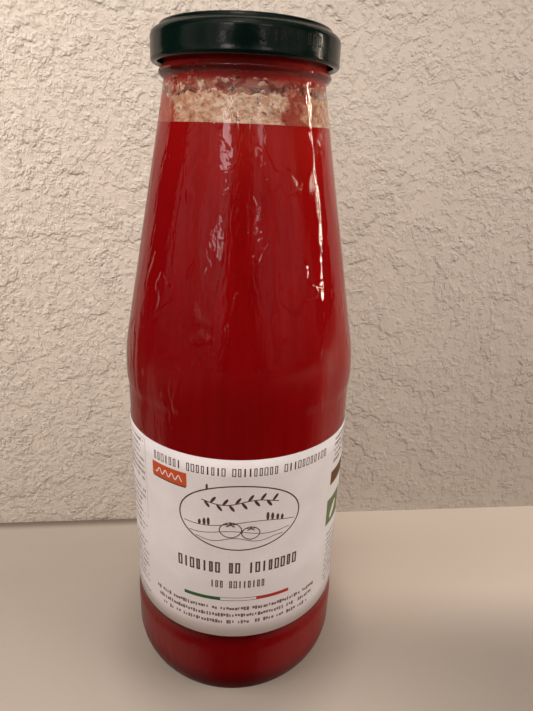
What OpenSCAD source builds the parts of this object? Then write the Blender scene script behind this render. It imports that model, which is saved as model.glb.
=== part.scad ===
// Passata bottle: a clear glass bottle with a long tapered neck, a twist-off lid,
// its filling, a thin film of froth above the filling and a paper wrap label.
// Millimetres. Origin: centre of the foot, on the surface the bottle stands on.
// +Z is up, and the label's front faces -Y.

/* [Glass bottle] */
// Height of the glass rim above the foot
bottle_h = 224.8; // [180:0.1:290]
// Outer radius of the panel that carries the label
panel_r = 39; // [31:0.1:50]
// How far the lower band stands out from the panel
band_out = 0.7; // [0.2:0.1:1.5]
// How far the bulge above the panel stands out from it
bulge_out = 0.4; // [0.1:0.1:1.5]
// Height of the panel's lower edge above the foot
panel_z0 = 31; // [24:0.5:40]
// Height of the panel
panel_h = 86; // [76:0.5:92]
// Height of each smooth step at the panel's two ends
step_h = 4.5; // [2:0.5:6]
// Height of the bulge's straight crest
crest_h = 1; // [0.5:0.5:4]
// Radius of the curve from the bulge into the tapered neck
shoulder_r = 70; // [50:1:90]
// Outer radius of the neck where it is narrowest
neck_r = 24; // [19:0.1:29]
// Thickness of the glass wall
wall_t = 2.5; // [1.8:0.1:3.2]
// Height of the transfer bead below the lid
bead_h = 3.6; // [2.5:0.1:5]
// How far the transfer bead stands out from the neck
bead_out = 1.9; // [1:0.1:2.2]
// Rounding of the glass rim's two edges
rim_round = 0.9; // [0.4:0.1:0.9]

/* [Foot] */
// Width of the rounded heel, from the flat foot out to the lower band
heel_w = 12.5; // [8:0.5:15]
// Height of the rounded heel
heel_h = 13.5; // [8:0.5:16]
// Width of the flat ring the bottle stands on
foot_w = 2.4; // [1.5:0.1:5]
// Rise of the hollow under the base
punt_h = 5; // [2:0.5:8]
// Thickness of the glass floor at its centre
base_t = 2.5; // [2:0.5:7]
// Thickness of the glass just inside the foot
foot_t = 3; // [2:0.5:8]

/* [Lid] */
// Height of the lid from its hem to its top
lid_h = 9.8; // [8:0.1:12]
// Thickness of the lid's sheet
lid_t = 0.4; // [0.3:0.05:0.6]
// Radial gap between the glass finish and the lid's skirt
lid_gap = 3.1; // [2.5:0.1:3.8]
// Radial gap between the glass finish and the lid's raised crown
crown_gap = 0.6; // [0.3:0.1:1.2]
// Height of the raised crown above the lid's shoulder
crown_h = 1.3; // [0.8:0.1:2]
// Rounding of the lid's shoulder
lid_round = 2.2; // [1.5:0.1:2.4]
// Depth of the shallow recess in the lid's top
recess_h = 0.5; // [0.2:0.1:1]
// Radial gap between the bore and the edge of that recess
recess_gap = 1.6; // [1:0.1:6]
// Radius of the rolled hem's section
hem_r = 0.9; // [0.7:0.05:1.1]
// How far the hem stands out from the skirt
hem_out = 0.35; // [0.1:0.05:0.6]
// Gap between the lid's hem and the bead below it
bead_gap = 0.4; // [0.2:0.1:1]

/* [Filling] */
// Height from the rim down to the filling's level
headspace = 24.8; // [20:0.1:40]
// Height of the froth film above the filling
froth_h = 7.8; // [4:0.1:9]
// Thickness of the froth film
froth_t = 0.7; // [0.4:0.1:1.5]
// Number of notches round the froth's ragged edge
notch_n = 17; // [5:1:30]
// Radius of each notch
notch_r = 4; // [2:0.5:6]
// Depth of the deepest notch
notch_d = 3; // [1:0.1:3.5]

/* [Label] */
// Height of the label
label_h = 71.8; // [60:0.1:72]
// Height of the label's lower edge above the panel's lower edge
label_rise = 2.8; // [0.5:0.1:3.5]
// Thickness of the label's paper
label_t = 0.2; // [0.1:0.05:0.3]
// Angle left bare between the label's two ends at the back, in degrees
label_bare = 14; // [4:1:60]

/* [Hidden] */
$fn = 96;
steps = 10;
band_r = panel_r + band_out;
bulge_r = panel_r + bulge_out;
foot_r = band_r - heel_w;
punt_r = foot_r - foot_w;
panel_z1 = panel_z0 + panel_h;
bulge_z0 = panel_z1 + step_h;
bulge_z1 = bulge_z0 + crest_h;
lid_top = bottle_h + lid_t;
lid_z0 = lid_top - lid_h;
bead_z1 = lid_z0 - bead_gap;
neck_z = bead_z1 - bead_h;
bore_r = neck_r - wall_t;
inner_r = panel_r - wall_t;
fill_z = bottle_h - headspace;
crown_r = neck_r + crown_gap + lid_t;
skirt_r = neck_r + lid_gap + lid_t;
label_z0 = panel_z0 + label_rise;

// A smooth rise from 0 to 1
function ease(u) = (1 - cos(180 * u)) / 2;

// An S-shaped step between two radii
function s_step(r0, z0, r1, z1) = [
    for (i = [0:steps]) [r0 + (r1 - r0) * ease(i / steps), z0 + (z1 - z0) * i / steps]
];

// A quarter ellipse that leaves a floor level and meets a wall upright
function heel(r0, z0, r1, z1) = [
    for (i = [0:steps]) [r0 + (r1 - r0) * sin(90 * i / steps), z1 - (z1 - z0) * cos(90 * i / steps)]
];

// A shallow dome from the axis out to radius r1
function dome(z0, r1, z1) = [
    for (i = [0:steps]) [r1 * i / steps, z0 + (z1 - z0) * pow(i / steps, 2)]
];

// Lean of the taper that leaves an arc of radius rr at (r0, z0) and ends at (rn, zn)
function lean(r0, z0, rr, rn, zn) =
    atan2(zn - z0, rn - r0 + rr) - acos(rr / norm([rn - r0 + rr, zn - z0]));

// The arc that turns from upright into that taper
function shoulder(r0, z0, rr, a) = [
    for (i = [0:steps]) [r0 - rr * (1 - cos(a * i / steps)), z0 + rr * sin(a * i / steps)]
];

// A quarter circle about (r0, z0), from angle a0 to a1
function corner(r0, z0, rr, a0, a1) = [
    for (i = [0:steps]) let (a = a0 + (a1 - a0) * i / steps) [r0 + rr * cos(a), z0 + rr * sin(a)]
];

function backwards(p) = [for (i = [len(p) - 1:-1:0]) p[i]];

lean_out = lean(bulge_r, bulge_z1, shoulder_r, neck_r, neck_z);
bend_r = shoulder_r - wall_t;
lean_in = lean(inner_r, bulge_z1, bend_r, bore_r, neck_z);

// Radius of the glass's inner face at height z in the taper
function taper_r(z) =
    inner_r - bend_r * (1 - cos(lean_in)) - (z - bulge_z1 - bend_r * sin(lean_in)) * tan(lean_in);

// The inner face from the middle of the floor up to the start of the taper
cavity = concat(
    dome(punt_h + base_t, punt_r, foot_t),
    heel(punt_r, foot_t, inner_r, heel_h + foot_t),
    shoulder(inner_r, bulge_z1, bend_r, lean_in)
);

module glass_section() {
    polygon(concat(
        dome(punt_h, punt_r, 0),
        heel(foot_r, 0, band_r, heel_h),
        s_step(band_r, panel_z0 - step_h, panel_r, panel_z0),
        s_step(panel_r, panel_z1, bulge_r, bulge_z0),
        shoulder(bulge_r, bulge_z1, shoulder_r, lean_out),
        [for (i = [0:2 * steps])
            [neck_r + bead_out * sin(90 * i / steps), neck_z + bead_h * i / (2 * steps)]],
        corner(neck_r - rim_round, bottle_h - rim_round, rim_round, 0, 90),
        corner(bore_r + rim_round, bottle_h - rim_round, rim_round, 90, 180),
        [[bore_r, neck_z]],
        backwards(cavity)
    ));
}

// The lid's outline, set in by d all round
function lid_line(d) = concat(
    [[0, lid_top - recess_h - d], [bore_r - recess_gap - recess_h, lid_top - recess_h - d]],
    [[bore_r - recess_gap, lid_top - d]],
    corner(crown_r - crown_h / 2, lid_top - crown_h / 2, crown_h / 2 - d, 90, 0),
    corner(skirt_r - lid_round, lid_top - crown_h - lid_round, lid_round - d, 90, 0),
    [[skirt_r - d, lid_z0 + hem_r]]
);

module lid_section() {
    polygon(concat(lid_line(0), backwards(lid_line(lid_t))));
}

module bottle() {
    color([0.86, 0.92, 0.9, 0.35])
        rotate_extrude()
            glass_section();
}

module lid() {
    color([0.04, 0.12, 0.07])
        union() {
            rotate_extrude()
                lid_section();
            rotate_extrude()
                translate([skirt_r + hem_out - hem_r, lid_z0 + hem_r])
                    circle(r = hem_r);
        }
}

module passata() {
    color([0.5, 0.02, 0.02])
        rotate_extrude()
            polygon(concat(cavity, [[taper_r(fill_z), fill_z], [0, fill_z]]));
}

// One notch in the froth's upper edge, at step i of the ring
module notch(i) {
    depth = notch_d * (0.35 + 0.65 * abs(sin(77 * i)));
    rotate([0, 0, 360 * i / notch_n + 6 * sin(137 * i)])
        translate([0, -taper_r(fill_z), fill_z + froth_h + notch_r - depth])
            rotate([90, 0, 0])
                cylinder(r = notch_r, h = 12, center = true);
}

module froth() {
    froth_z1 = fill_z + froth_h;
    color([0.72, 0.45, 0.33])
        difference() {
            rotate_extrude()
                polygon([
                    [taper_r(fill_z) - froth_t, fill_z],
                    [taper_r(fill_z), fill_z],
                    [taper_r(froth_z1), froth_z1],
                    [taper_r(froth_z1) - froth_t, froth_z1]
                ]);
            for (i = [0:notch_n - 1]) notch(i);
        }
}

module label() {
    color([0.9, 0.86, 0.82])
        rotate([0, 0, 90 + label_bare / 2])
            rotate_extrude(angle = 360 - label_bare)
                translate([panel_r, label_z0])
                    square([label_t, label_h]);
}

bottle();
lid();
passata();
froth();
label();
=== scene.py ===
"""Passata bottle: the visible pieces, finishes, light and camera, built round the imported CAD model.

Every piece is a surface worked out with numpy in metres, in the CAD's own frame: the origin is the
centre of the foot, +Z is up and the label's front faces -Y. Sizes in the classes are in metres.
"""

import logging
import math
from dataclasses import dataclass, field
from enum import Enum
from typing import Callable, Optional, Sequence, Union

import bpy
import numpy as np
from mathutils import Matrix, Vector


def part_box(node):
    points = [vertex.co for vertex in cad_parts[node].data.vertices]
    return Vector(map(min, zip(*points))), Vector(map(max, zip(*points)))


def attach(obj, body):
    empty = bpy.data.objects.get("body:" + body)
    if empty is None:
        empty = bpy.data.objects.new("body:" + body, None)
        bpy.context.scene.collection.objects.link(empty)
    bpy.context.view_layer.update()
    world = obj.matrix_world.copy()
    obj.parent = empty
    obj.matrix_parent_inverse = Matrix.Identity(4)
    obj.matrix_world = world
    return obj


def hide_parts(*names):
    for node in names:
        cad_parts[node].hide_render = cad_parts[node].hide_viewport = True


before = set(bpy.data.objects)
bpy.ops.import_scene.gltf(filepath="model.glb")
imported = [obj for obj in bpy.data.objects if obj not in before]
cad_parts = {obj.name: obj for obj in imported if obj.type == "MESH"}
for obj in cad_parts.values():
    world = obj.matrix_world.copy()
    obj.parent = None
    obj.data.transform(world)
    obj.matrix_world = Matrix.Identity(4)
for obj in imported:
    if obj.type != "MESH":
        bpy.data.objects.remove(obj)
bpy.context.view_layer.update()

log = logging.getLogger("passata_bottle")

MM = 0.001
TURN = 2.0 * math.pi
UPRIGHT = math.pi / 2.0
ROOT = "root"

Colour = tuple[float, float, float]
Number = Union[int, float]
Pair = tuple[float, float]


class Slot(Enum):
    """The record's material slots."""

    GLASS = "glass"
    LID = "lid"
    PASSATA = "passata"
    FROTH = "froth"
    LABEL = "label"


# ---------------------------------------------------------------------------------------------
# Shader arithmetic
# ---------------------------------------------------------------------------------------------


def scaled(colour: Colour, share: float, most: float = 1.0) -> Colour:
    """A colour made darker or lighter, with no channel above a limit."""
    return tuple(min(most, c * share) for c in colour)


@dataclass(frozen=True)
class Grain:
    """One noise: scale of the height, features per metre, octaves, their roughness and the warp."""

    upright: float
    scale: float
    detail: float
    rough: float
    warp: float = 0.0


class Signal:
    """A shader socket that can be used in Python arithmetic."""

    def __init__(self, paint: "Paint", socket: bpy.types.NodeSocket) -> None:
        """Keep the socket and the tree under construction."""
        self.paint = paint
        self.socket = socket

    def math(
        self, operation: str, *others: "Signal | Number", first: Optional[Number] = None
    ) -> "Signal":
        """Add one Math node.

        Args:
            operation: the Math node's operation.
            others: its further inputs, in order.
            first: a number to put before this signal, for a reflected operator.

        Returns:
            The node's result.
        """
        values = [self, *others] if first is None else [first, self, *others]
        return self.paint.node("ShaderNodeMath", {"operation": operation}, dict(enumerate(values)))

    def __add__(self, other: "Signal | Number") -> "Signal":
        """Sum."""
        return self.math("ADD", other)

    __radd__ = __add__

    def __mul__(self, other: "Signal | Number") -> "Signal":
        """Product."""
        return self.math("MULTIPLY", other)

    __rmul__ = __mul__

    def __sub__(self, other: "Signal | Number") -> "Signal":
        """Difference."""
        return self.math("SUBTRACT", other)

    def __rsub__(self, other: Number) -> "Signal":
        """Difference from a number."""
        return self.math("SUBTRACT", first=other)

    def __truediv__(self, other: "Signal | Number") -> "Signal":
        """Quotient."""
        return self.math("DIVIDE", other)

    def __abs__(self) -> "Signal":
        """Size without the sign."""
        return self.math("ABSOLUTE")

    def under(self, limit: float) -> "Signal":
        """The signal, but never above a limit."""
        return self.math("MINIMUM", limit)

    def rise(self, low: float, high: float) -> "Signal":
        """Smooth 0 to 1 as this signal goes from low to high.

        Args:
            low: where the result leaves 0.
            high: where it reaches 1; it may be under low for a fall.

        Returns:
            The smooth step.
        """
        settings = {"interpolation_type": "SMOOTHSTEP"}
        if low > high:
            return 1.0 - self.rise(high, low)
        values = {"Value": self, "From Min": low, "From Max": high}
        return self.paint.node("ShaderNodeMapRange", settings, values)


class Paint:
    """A node tree under construction: a material's own, or the world's."""

    def __init__(self, tree: bpy.types.NodeTree, material: Optional[bpy.types.Material] = None) -> None:
        """Keep the tree, and the material it belongs to if there is one."""
        self.tree = tree
        self.material = material

    @classmethod
    def named(cls, name: str) -> "Paint":
        """Start an empty node material of this name."""
        material = bpy.data.materials.new(name)
        material.use_nodes = True
        material.node_tree.nodes.clear()
        return cls(material.node_tree, material)

    def node(
        self,
        kind: str,
        settings: Optional[dict] = None,
        values: Optional[dict] = None,
        out: Union[int, str] = 0,
    ) -> Signal:
        """Add one node.

        Args:
            kind: the node's type.
            settings: its properties, set before its inputs.
            values: numbers, colours or signals for its inputs, by name or index.
            out: which output to return.

        Returns:
            That output.
        """
        made = self.tree.nodes.new(kind)
        for key, value in (settings or {}).items():
            setattr(made, key, value)
        for key, value in (values or {}).items():
            self.feed(made.inputs[key], value)
        return Signal(self, made.outputs[out])

    def feed(self, socket: bpy.types.NodeSocket, value: "Signal | Number | Colour") -> None:
        """Link a signal to an input, or set the input's own value."""
        if isinstance(value, Signal):
            self.tree.links.new(value.socket, socket)
        elif isinstance(value, tuple) and len(value) == 3 and socket.type == "RGBA":
            socket.default_value = (*value, 1.0)
        else:
            socket.default_value = value

    def point(self) -> Signal:
        """The Object coordinates in a material, and the direction in the world."""
        return self.node("ShaderNodeTexCoord", out="Object" if self.material else "Generated")

    def place(self, upright: float = 1.0) -> Signal:
        """The point with its height scaled: under 1 draws a pattern out upwards."""
        values = {"Vector": self.point(), "Scale": (1.0, 1.0, upright)}
        return self.node("ShaderNodeMapping", None, values)

    def axes(self) -> tuple[Signal, Signal, Signal]:
        """The x, y and z of the point, as three signals."""
        split = self.node("ShaderNodeSeparateXYZ", None, {"Vector": self.point()})
        return tuple(Signal(self, s) for s in split.socket.node.outputs)

    def noise(self, grain: Grain) -> Signal:
        """Fractal noise from 0 to 1."""
        values = {"Vector": self.place(grain.upright), "Scale": grain.scale, "Detail": grain.detail}
        values.update({"Roughness": grain.rough, "Distortion": grain.warp})
        return self.node("ShaderNodeTexNoise", None, values)

    def shades(self, signal: Signal, dark: Colour, middle: Colour, light: Colour) -> Signal:
        """A colour that goes from dark through middle to light as a noise signal rises."""
        made = self.node("ShaderNodeValToRGB", None, {"Fac": signal})
        elements = made.socket.node.color_ramp.elements
        elements.new(0.5)
        for element, (place, colour) in zip(elements, ((0.38, dark), (0.52, middle), (0.66, light))):
            element.position = place
            element.color = (*colour, 1.0)
        return made

    def mix(self, share: "Signal | Number", a: "Signal | Colour", b: "Signal | Colour") -> Signal:
        """Blend two colours.

        Args:
            share: 0 gives a, 1 gives b.
            a: the first colour.
            b: the second colour.

        Returns:
            The blended colour.
        """
        return self.node("ShaderNodeMix", {"data_type": "RGBA"}, {0: share, 6: a, 7: b}, out=2)

    def bump(self, height: Signal, distance: float) -> Signal:
        """A normal pushed about by a height field; distance is the height's size in metres."""
        return self.node("ShaderNodeBump", None, {"Height": height, "Distance": distance, "Strength": 1.0})

    def principled(self, **values: "Signal | Number | Colour") -> bpy.types.Material:
        """Finish the material with one Principled shader.

        Args:
            values: its inputs, with underscores for the spaces in their names.

        Returns:
            The material.
        """
        named = {key.replace("_", " "): value for key, value in values.items()}
        shader = self.node("ShaderNodeBsdfPrincipled", None, named)
        return self.output(shader)

    def output(self, shader: Signal) -> bpy.types.Material:
        """Send a shader to the material's surface and return the material."""
        end = self.tree.nodes.new("ShaderNodeOutputMaterial")
        self.tree.links.new(shader.socket, end.inputs["Surface"])
        return self.material


# ---------------------------------------------------------------------------------------------
# Surfaces
# ---------------------------------------------------------------------------------------------


def grid_quads(rows: int, columns: int, wrap_rows: bool, wrap_columns: bool) -> np.ndarray:
    """Faces of a grid: each cell (i, j) joins its corners (i, j), (i, j+1), (i+1, j+1), (i+1, j).

    Args:
        rows: points along the first parameter.
        columns: points along the second.
        wrap_rows: whether the last row meets the first.
        wrap_columns: whether the last column meets the first.

    Returns:
        Point numbers, four to a face.
    """
    i = np.arange(rows if wrap_rows else rows - 1)[:, None]
    j = np.arange(columns if wrap_columns else columns - 1)[None, :]
    k, l = (i + 1) % rows, (j + 1) % columns
    corners = (i * columns + j, i * columns + l, k * columns + l, k * columns + j)
    return np.stack([np.broadcast_to(c, (i.size, j.size)) for c in corners], axis=-1).reshape(-1, 4)


def enclosed_volume(points: np.ndarray, faces: Sequence[np.ndarray]) -> float:
    """Signed volume: each face's fan of triangles adds a . (b x c) / 6, positive where faces point out."""
    total = 0.0
    for block in faces:
        for n in range(1, block.shape[1] - 1):
            a, b, c = points[block[:, 0]], points[block[:, n]], points[block[:, n + 1]]
            total += float(np.einsum("ij,ij->", a, np.cross(b, c))) / 6.0
    return total


def make_object(
    name: str, points: np.ndarray, faces: Sequence[np.ndarray], closed: bool = True
) -> bpy.types.Object:
    """Put points and faces into a smooth mesh object at the origin.

    Args:
        name: the piece's name.
        points: positions in metres.
        faces: blocks of point numbers, one block for each face size.
        closed: whether the mesh is closed, so that its volume says which way its faces point.

    Returns:
        The new object, linked to the scene.
    """
    blocks = [f for f in faces if len(f)]
    if closed and enclosed_volume(points, blocks) < 0:
        blocks = [f[:, ::-1] for f in blocks]
    mesh = bpy.data.meshes.new(name)
    mesh.from_pydata(points.tolist(), [], [face for block in blocks for face in block.tolist()])
    mesh.validate()
    mesh.shade_smooth()
    made = bpy.data.objects.new(name, mesh)
    bpy.context.scene.collection.objects.link(made)
    return made


def open_sheet(name: str, x: np.ndarray, y: np.ndarray, z: np.ndarray) -> bpy.types.Object:
    """A sheet through a grid of points; its front is the side that row direction x column
    direction points to.

    Args:
        name: the piece's name.
        x: one coordinate of every point, rows by columns.
        y: the second coordinate.
        z: the third coordinate.

    Returns:
        The sheet.
    """
    quads = grid_quads(*x.shape, False, False)[:, ::-1]
    return make_object(name, np.stack([x, y, z], axis=-1).reshape(-1, 3), [quads], closed=False)


def about_axis(radius: np.ndarray, angle: np.ndarray, z: np.ndarray) -> np.ndarray:
    """Points (r cos a, r sin a, z) from radii, angles and heights that broadcast together."""
    radius, angle, z = np.broadcast_arrays(radius, angle, z)
    return np.stack([radius * np.cos(angle), radius * np.sin(angle), z], axis=-1).reshape(-1, 3)


def cap(pole: int, ring: int, around: int, forward: bool) -> np.ndarray:
    """Triangles that close a ring of points with one pole.

    Args:
        pole: number of the pole's point.
        ring: number of the ring's first point.
        around: points in the ring.
        forward: whether the triangles run along the ring or against it.

    Returns:
        Point numbers, three to a face.
    """
    j = ring + np.arange(around)
    l = ring + (np.arange(around) + 1) % around
    return np.stack([np.full(around, pole), j if forward else l, l if forward else j], axis=-1)


def place_in_scene(
    name: str, data: bpy.types.ID, axes: Sequence[np.ndarray], origin: np.ndarray
) -> bpy.types.Object:
    """Link a light or camera at a point, with its own x, y and z along three directions.

    Args:
        name: the object's name.
        data: the light or camera.
        axes: the three directions.
        origin: where it goes.

    Returns:
        The new object.
    """
    made = bpy.data.objects.new(name, data)
    bpy.context.scene.collection.objects.link(made)
    matrix = np.eye(4)
    matrix[:3, :3], matrix[:3, 3] = np.stack(axes, axis=-1), origin
    made.matrix_world = Matrix(matrix.tolist())
    return made


@dataclass(frozen=True)
class Ripple:
    """Slow unevenness of a blown wall: a sum of waves round and along the axis, always inward."""

    depth: float
    seed: int
    waves: int = 9
    most_round: int = 15
    short: float = 0.035
    tall: float = 0.16

    def at(self, turn: np.ndarray, z: np.ndarray) -> np.ndarray:
        """Depth at an angle and height.

        The waves are sin(n * turn + 2 pi z / length + phase) with whole n, so they close round the
        axis; their weighted mean is scaled to lie between -depth and 0.

        Args:
            turn: angle about the axis.
            z: height.

        Returns:
            The change of radius.
        """
        rng = np.random.default_rng(self.seed)
        n = rng.integers(2, self.most_round, self.waves)
        length = rng.uniform(self.short, self.tall, self.waves) * rng.choice([-1.0, 1.0], self.waves)
        phase = rng.uniform(0.0, TURN, self.waves)
        weight = 1.0 / np.sqrt(n)
        angle = n * turn[..., None] + TURN * z[..., None] / length + phase
        mean = (np.sin(angle) * weight).sum(axis=-1) / weight.sum()
        return -self.depth * (0.5 - 0.5 * np.clip(1.8 * mean, -1.0, 1.0))


def lathe(
    name: str,
    profile: np.ndarray,
    around: int,
    shift: Optional[Callable[[np.ndarray, np.ndarray], np.ndarray]] = None,
) -> bpy.types.Object:
    """Turn a profile about the axis: the point (r, z) goes to (r cos a, r sin a, z).

    A profile that starts or ends on the axis is closed there by one pole; any other is a ring and
    its last point meets its first.

    Args:
        name: the piece's name.
        profile: (radius, height) points in metres.
        around: points round the axis.
        shift: change of radius at each (angle, height), if any.

    Returns:
        The closed piece.
    """
    starts, ends = profile[0, 0] < 1e-9, profile[-1, 0] < 1e-9
    body = profile[int(starts) : len(profile) - int(ends)]
    angle, height = np.meshgrid(np.arange(around) * TURN / around, body[:, 1])
    radius = np.repeat(body[:, :1], around, axis=1)
    if shift is not None:
        radius = radius + shift(angle, height)
    points = about_axis(radius, angle, height)
    faces = [grid_quads(len(body), around, not (starts or ends), True)]
    for closed, end, ring, forward in ((starts, 0, 0, False), (ends, -1, len(body) - 1, True)):
        if closed:
            points = np.vstack([points, [[0.0, 0.0, profile[end, 1]]]])
            faces.append(cap(len(points) - 1, ring * around, around, forward))
    return make_object(name, points, faces)


def ease(u: np.ndarray) -> np.ndarray:
    """A smooth rise from 0 to 1: half a cosine wave."""
    return (1.0 - np.cos(math.pi * u)) / 2.0


def s_step(start: Pair, stop: Pair, n: int) -> np.ndarray:
    """An S-shaped step between two (radius, height) points: height runs evenly, radius eases."""
    u = np.linspace(0.0, 1.0, n)
    radius = start[0] + (stop[0] - start[0]) * ease(u)
    return np.stack([radius, start[1] + (stop[1] - start[1]) * u], axis=-1)


def straight(start: Pair, stop: Pair, n: int) -> np.ndarray:
    """Evenly spaced points strictly between two (radius, height) points."""
    u = np.linspace(0.0, 1.0, n + 2)[1:-1, None]
    return np.array(start) + (np.array(stop) - np.array(start)) * u


def quarter(start: Pair, stop: Pair, n: int) -> np.ndarray:
    """A quarter ellipse that leaves start level and meets stop upright: sine across, cosine up."""
    a = np.linspace(0.0, math.pi / 2.0, n)
    return np.stack(
        [start[0] + (stop[0] - start[0]) * np.sin(a), stop[1] - (stop[1] - start[1]) * np.cos(a)], axis=-1
    )


def arc(centre: Pair, radius: float, begin: float, end: float, n: int) -> np.ndarray:
    """Points on a circle about a (radius, height) centre, between two angles in degrees."""
    a = np.radians(np.linspace(begin, end, n))
    return np.stack([centre[0] + radius * np.cos(a), centre[1] + radius * np.sin(a)], axis=-1)


def dome(centre_z: float, edge: Pair, n: int) -> np.ndarray:
    """A shallow bowl from the axis to its edge: height changes with the square of the radius."""
    u = np.linspace(0.0, 1.0, n)
    return np.stack([edge[0] * u, centre_z + (edge[1] - centre_z) * u * u], axis=-1)


@dataclass(frozen=True)
class Taper:
    """The bend and straight taper that leave an upright wall at (radius, z) and reach the neck."""

    radius: float
    z: float
    bend: float
    neck_radius: float
    neck_z: float

    @property
    def lean(self) -> float:
        """Angle of the taper from upright: direction of the neck from the bend's centre, less the
        angle whose cosine is bend over that distance."""
        across, up = self.neck_radius - self.radius + self.bend, self.neck_z - self.z
        return math.atan2(up, across) - math.acos(self.bend / math.hypot(across, up))

    @property
    def start(self) -> Pair:
        """Where the bend becomes the straight taper."""
        return (
            self.radius - self.bend * (1.0 - math.cos(self.lean)),
            self.z + self.bend * math.sin(self.lean),
        )

    def radius_at(self, z: "float | np.ndarray") -> "float | np.ndarray":
        """Radius of the straight taper at a height: it falls by the tangent of the lean."""
        return self.start[0] - (z - self.start[1]) * math.tan(self.lean)

    def points(self, bend_n: int, straight_n: int) -> np.ndarray:
        """The bend, then the straight part, up to but not including the neck."""
        a = np.linspace(0.0, self.lean, bend_n)
        bend = np.stack(
            [self.radius - self.bend * (1.0 - np.cos(a)), self.z + self.bend * np.sin(a)], axis=-1
        )
        return np.vstack([bend, straight(self.start, (self.neck_radius, self.neck_z), straight_n)])


def present(
    piece: bpy.types.Object, slot: Slot, material: bpy.types.Material, *nodes: str
) -> bpy.types.Object:
    """Dress a piece and tell the frame about it.

    Args:
        piece: the finished object.
        slot: the record slot of the piece's finish; not used.
        material: its material.
        nodes: the CAD nodes it stands for.

    Returns:
        The piece.
    """
    piece.data.materials.clear()
    piece.data.materials.append(material)
    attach(piece, ROOT)
    if nodes:
        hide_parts(*nodes)
    stands_for = ", ".join(nodes) or "no node"
    log.info("%s: %d faces, stands for %s", piece.name, len(piece.data.polygons), stands_for)
    return piece


# ---------------------------------------------------------------------------------------------
# Finishes
# ---------------------------------------------------------------------------------------------


@dataclass(frozen=True)
class ClearGlass:
    """Flint glass with the unevenness of a blown wall."""

    tint: Colour = (0.975, 0.985, 0.98)
    ior: float = 1.5
    waves: Grain = Grain(0.2, 165.0, 3.0, 0.5, 0.8)
    dimples: Grain = Grain(0.55, 112.0, 2.0, 0.4, 0.8)
    runs: Grain = Grain(0.08, 420.0, 2.0, 0.5, 0.3)
    crinkle: Grain = Grain(0.4, 340.0, 3.0, 0.5, 0.6)
    bump_h: float = 0.34 * MM

    def material(self) -> bpy.types.Material:
        """The glass: waves drawn out along the height, dimples on the neck, calmer to the right."""
        paint = Paint.named("clear_glass")
        x, _, z = paint.axes()
        waves = paint.noise(self.waves)
        dimples = paint.noise(self.dimples).rise(0.61, 0.67)
        runs = paint.noise(self.runs)
        even = x.rise(-0.002, 0.014) * 0.68
        crinkle = paint.noise(self.crinkle)
        stirred = waves + dimples * z.rise(0.110, 0.135) + crinkle * 0.42
        height = stirred * (1.0 - even) + runs * 0.25
        return paint.principled(
            Base_Color=self.tint, Roughness=0.0, IOR=self.ior, Transmission_Weight=1.0,
            Normal=paint.bump(height, self.bump_h),
        )


@dataclass(frozen=True)
class TomatoPulp:
    """Smooth passata behind glass: deep red with faint upright streaks, with painted light making it
    lighter towards the neck and to the right, and painted shade at the left.
    """

    deep: Colour = (0.232, 0.0003, 0.0018)
    bright: Colour = (0.34, 0.0034, 0.0034)
    surface: Colour = (0.44, 0.020, 0.012)
    fleck: Colour = (0.45, 0.02, 0.008)
    top_z: float = 0.2
    streaks: Grain = Grain(0.07, 330.0, 4.0, 0.6, 0.6)
    clouds: Grain = Grain(0.5, 60.0, 3.0, 0.5, 0.4)
    grain: Grain = Grain(1.0, 1900.0, 2.0, 0.6)
    bump_h: float = 0.12 * MM

    def material(self) -> bpy.types.Material:
        """The passata material."""
        paint = Paint.named("passata_pulp")
        x, _, z = paint.axes()
        streaks = paint.noise(self.streaks)
        clouds = paint.noise(self.clouds)
        grain = paint.noise(self.grain)
        # Painted light and shade: the red lightens with height and to the right (x * 7.0) and darkens at
        # the left, standing in for light from above and from the right.
        height = z / self.top_z
        shaded = x.rise(-0.016, -0.027) * 0.35
        share = (height * 0.5 + clouds * 0.35 + streaks * 0.8 + x * 7.0 - 0.45 - shaded).rise(0.0, 1.1)
        colour = paint.mix(share, self.deep, self.bright)
        # Painted light: the lighter surface red near the top is mixed in more strongly to the right.
        near_top = z.rise(self.top_z - 0.024, self.top_z - 0.001)
        colour = paint.mix(near_top * (x.rise(-0.022, 0.004) * 0.4 + 0.05), colour, self.surface)
        colour = paint.mix(grain.rise(0.66, 0.80) * 0.3, colour, self.fleck)
        return paint.principled(
            Base_Color=colour,
            Roughness=(streaks * 0.2 + 0.45),
            Specular_IOR_Level=0.0,
            Normal=paint.bump(grain * 0.4 + streaks, self.bump_h),
        )


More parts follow.
